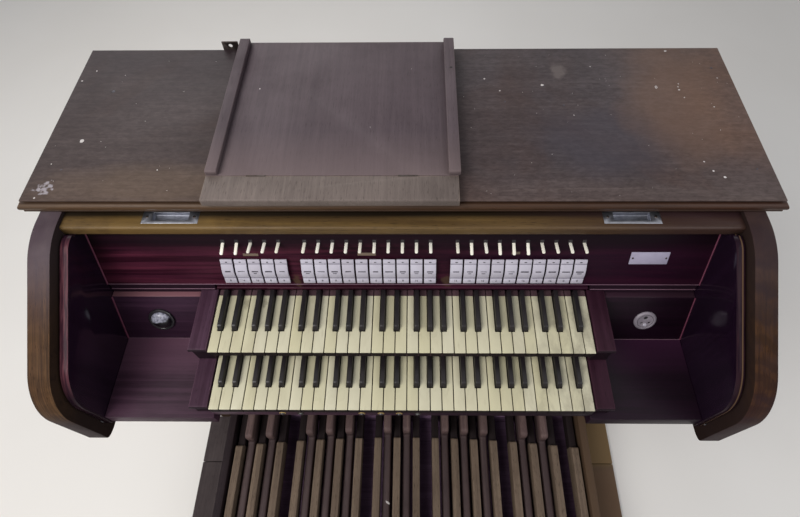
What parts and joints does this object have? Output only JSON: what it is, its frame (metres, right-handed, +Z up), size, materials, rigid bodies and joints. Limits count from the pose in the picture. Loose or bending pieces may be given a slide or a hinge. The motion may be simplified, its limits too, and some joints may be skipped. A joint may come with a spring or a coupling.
{
  "type": "organ console",
  "caption": "Free-standing roll-top organ console with stepped manuals, stop tabs between curved cheeks, a folding music desk and a concave pedalboard.",
  "frame": {"origin": "on the floor, under the middle of the whole console with its pedalboard", "axes": "+X to the player's right, +Y from the player to the back of the case, +Z up"},
  "size_m": [1.418, 1.3424, 1.194],
  "materials": {
    "top_veneer": "worn dark veneer, satin",
    "top_edge": "dark stained oak moulding, satin",
    "desk_ledge_wood": "greyed oak, matt",
    "desk_panel_wood": "worn dark veneer, satin",
    "oak": "stained oak, satin",
    "shutter_oak": "olive-brown oak, satin",
    "mahogany": "dark red mahogany, polished",
    "lining_mahogany": "very dark mahogany, glossy",
    "frame_wood": "plain pale wood",
    "ivory": "cream key covering, satin gloss",
    "ebony": "black, glossy",
    "tab_plastic": "white, gloss",
    "lever_ivory": "ivory, gloss",
    "plate_white": "bare white plate",
    "lamp_black": "black bezel and dome, gloss",
    "socket_grey": "pale grey disc",
    "dark_steel": "dark steel",
    "pull_chrome": "chromed",
    "piston_brass": "worn brass",
    "pedal_wood": "bare grey-brown wood, worn",
    "pedal_sharp_wood": "bare brown wood, worn",
    "pedal_frame_wood": "dark brown wood, worn",
    "board_wood": "grey worn board",
    "case_oak": "stained oak, satin"
  },
  "bodies": {
    "console": {"top_board": "top_veneer", "top_moulding": "top_edge", "music_ledge": "desk_ledge_wood", "music_hinges": "dark_steel", "top_bracket": "dark_steel", "cheek_left": "oak", "cheek_right": "oak", "lining_left": "lining_mahogany", "lining_right": "lining_mahogany", "groove_stops": "dark_steel", "shutter_rail": "shutter_oak", "shutter_slats": "shutter_oak", "pull_plates": "pull_chrome", "stop_rail": "mahogany", "stop_tabs": "tab_plastic", "setter_levers": "lever_ivory", "name_plate": "plate_white", "side_panels": "mahogany", "round_lamp": "lamp_black", "round_socket": "socket_grey", "key_bed": "mahogany", "upper_naturals": "ivory", "upper_sharps": "ebony", "lower_naturals": "ivory", "lower_sharps": "ebony", "upper_key_blocks": "mahogany", "lower_key_blocks": "mahogany", "key_frames": "frame_wood", "key_slip": "mahogany", "thumb_pistons": "piston_brass", "pedal_naturals": "pedal_wood", "pedal_sharps": "pedal_sharp_wood", "pedal_cheek_left": "pedal_frame_wood", "pedal_cheek_right": "pedal_frame_wood", "pedal_heel_board": "pedal_frame_wood", "pedal_toe_board": "pedal_frame_wood", "pedal_rails": "pedal_frame_wood", "floor_boards": "board_wood", "lower_side_left": "case_oak", "lower_side_right": "case_oak", "knee_board": "case_oak", "plinth_rails": "case_oak", "back_panel": "case_oak"},
    "music_desk": {"music_panel": "desk_panel_wood", "music_battens": "desk_panel_wood"}
  },
  "joints": [
    {"name": "desk_hinge", "type": "hinge", "parent": "console", "child": "music_desk", "pos_m": [-0.125, 0.28635, 1.183], "axis": [1, 0, 0], "range_deg": [0, 70]}
  ]
}
